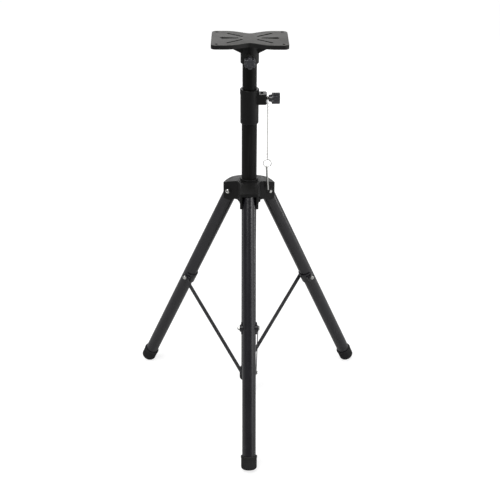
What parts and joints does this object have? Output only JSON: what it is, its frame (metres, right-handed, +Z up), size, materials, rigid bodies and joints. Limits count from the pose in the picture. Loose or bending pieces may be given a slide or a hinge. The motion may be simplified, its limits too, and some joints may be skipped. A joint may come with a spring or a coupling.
{
  "type": "speaker tripod stand",
  "caption": "Folding tripod stand with a telescoping pole, clamp knobs, a chained safety pin and a slotted waisted top plate for a loudspeaker.",
  "frame": {"origin": "on the floor, on the axis of the mast", "axes": "+Z up along the mast, front leg towards -Y, height clamp knob and safety chain towards +X"},
  "size_m": [0.6252, 0.5468, 1.016],
  "materials": {
    "mast_paint": "satin black powder coat",
    "pole_paint": "satin black powder coat",
    "leg_paint": "satin black powder coat",
    "strut_paint": "satin black paint on flat steel bar",
    "plate_coat": "finely textured black moulding",
    "moulded_plastic": "satin black moulding",
    "knob_plastic": "satin black moulding",
    "foot_rubber": "matt black rubber",
    "bright_steel": "bright zinc-plated steel",
    "screw_steel": "zinc-plated threaded steel",
    "dark_steel": "black-oxide steel"
  },
  "bodies": {
    "mast": {"mast_tube": "mast_paint", "mast_end_plug": "moulded_plastic", "collar": "moulded_plastic", "collar_nut": "dark_steel", "strut_ring": "moulded_plastic", "chain_eye": "bright_steel", "safety_chain": "bright_steel", "split_ring": "bright_steel"},
    "pole": {"pole_tube": "pole_paint", "pole_bush": "moulded_plastic"},
    "plate": {"speaker_plate": "plate_coat", "plate_nut": "dark_steel"},
    "plate_clamp": {"plate_knob": "knob_plastic", "plate_screw": "screw_steel"},
    "height_clamp": {"collar_knob": "knob_plastic", "collar_screw": "screw_steel"},
    "hub": {"hub": "moulded_plastic", "hub_lock_nut": "dark_steel", "front_pivot_bolt": "bright_steel", "front_pivot_nut": "dark_steel", "right_pivot_bolt": "bright_steel", "right_pivot_nut": "dark_steel", "left_pivot_bolt": "bright_steel", "left_pivot_nut": "dark_steel"},
    "hub_clamp": {"hub_lock_knob": "knob_plastic", "hub_lock_screw": "screw_steel"},
    "pin": {"safety_pin": "bright_steel"},
    "front_leg": {"front_leg_tube": "leg_paint", "front_leg_plug": "moulded_plastic", "front_leg_foot": "foot_rubber", "front_leg_bracket": "moulded_plastic", "front_bracket_bolt": "bright_steel", "front_bracket_nut": "dark_steel"},
    "front_strut": {"front_strut": "strut_paint", "front_strut_screw": "bright_steel"},
    "right_leg": {"right_leg_tube": "leg_paint", "right_leg_plug": "moulded_plastic", "right_leg_foot": "foot_rubber", "right_leg_bracket": "moulded_plastic", "right_bracket_bolt": "bright_steel", "right_bracket_nut": "dark_steel"},
    "right_strut": {"right_strut": "strut_paint", "right_strut_screw": "bright_steel"},
    "left_leg": {"left_leg_tube": "leg_paint", "left_leg_plug": "moulded_plastic", "left_leg_foot": "foot_rubber", "left_leg_bracket": "moulded_plastic", "left_bracket_bolt": "bright_steel", "left_bracket_nut": "dark_steel"},
    "left_strut": {"left_strut": "strut_paint", "left_strut_screw": "bright_steel"}
  },
  "joints": [
    {"name": "hub_slide", "type": "slide", "parent": "mast", "child": "hub", "axis": [0, 0, 1], "range_m": [0, 0.08816]},
    {"name": "pole_slide", "type": "slide", "parent": "mast", "child": "pole", "axis": [0, 0, 1], "range_m": [-0.057, 0.66]},
    {"name": "plate_turn", "type": "hinge", "parent": "pole", "child": "plate", "pos_m": [0, 0, 0.954], "axis": [0, 0, 1], "continuous": true},
    {"name": "plate_knob_turn", "type": "hinge", "parent": "plate", "child": "plate_clamp", "pos_m": [0, -0.0335, 0.971], "axis": [0, -1, 0], "range_deg": [0, 720]},
    {"name": "height_knob_turn", "type": "hinge", "parent": "mast", "child": "height_clamp", "pos_m": [0.0465, 0, 0.868], "axis": [1, 0, 0], "range_deg": [0, 720]},
    {"name": "hub_knob_turn", "type": "hinge", "parent": "hub", "child": "hub_clamp", "pos_m": [0, 0.0435, 0.6255], "axis": [0, 1, 0], "range_deg": [0, 720]},
    {"name": "pin_swing", "type": "hinge", "parent": "mast", "child": "pin", "pos_m": [0.04375, -0.008, 0.69081], "axis": [0.9978, 0, 0.0663], "range_deg": [-60, 0]},
    {"name": "front_leg_fold", "type": "hinge", "parent": "hub", "child": "front_leg", "pos_m": [0, -0.0485, 0.6195], "axis": [1, 0, 0], "range_deg": [0, 25.61]},
    {"name": "front_strut_fold", "type": "hinge", "parent": "front_leg", "child": "front_strut", "pos_m": [0, -0.18806, 0.32821], "axis": [1, 0, 0], "range_deg": [-52.45, 0]},
    {"name": "right_leg_fold", "type": "hinge", "parent": "hub", "child": "right_leg", "pos_m": [0.042, 0.02425, 0.6195], "axis": [-0.5, 0.866, 0], "range_deg": [0, 25.61]},
    {"name": "right_strut_fold", "type": "hinge", "parent": "right_leg", "child": "right_strut", "pos_m": [0.16287, 0.09403, 0.32821], "axis": [-0.5, 0.866, 0], "range_deg": [-52.45, 0]},
    {"name": "left_leg_fold", "type": "hinge", "parent": "hub", "child": "left_leg", "pos_m": [-0.042, 0.02425, 0.6195], "axis": [-0.5, -0.866, 0], "range_deg": [0, 25.61]},
    {"name": "left_strut_fold", "type": "hinge", "parent": "left_leg", "child": "left_strut", "pos_m": [-0.16287, 0.09403, 0.32821], "axis": [-0.5, -0.866, 0], "range_deg": [-52.45, 0]}
  ],
  "couplings": [
    {"joint": "front_leg_fold", "follows": "hub_slide", "rad_per_m": 5.0682},
    {"joint": "front_strut_fold", "follows": "hub_slide", "rad_per_m": -10.382},
    {"joint": "right_leg_fold", "follows": "hub_slide", "rad_per_m": 5.0682},
    {"joint": "right_strut_fold", "follows": "hub_slide", "rad_per_m": -10.382},
    {"joint": "left_leg_fold", "follows": "hub_slide", "rad_per_m": 5.0682},
    {"joint": "left_strut_fold", "follows": "hub_slide", "rad_per_m": -10.382}
  ]
}
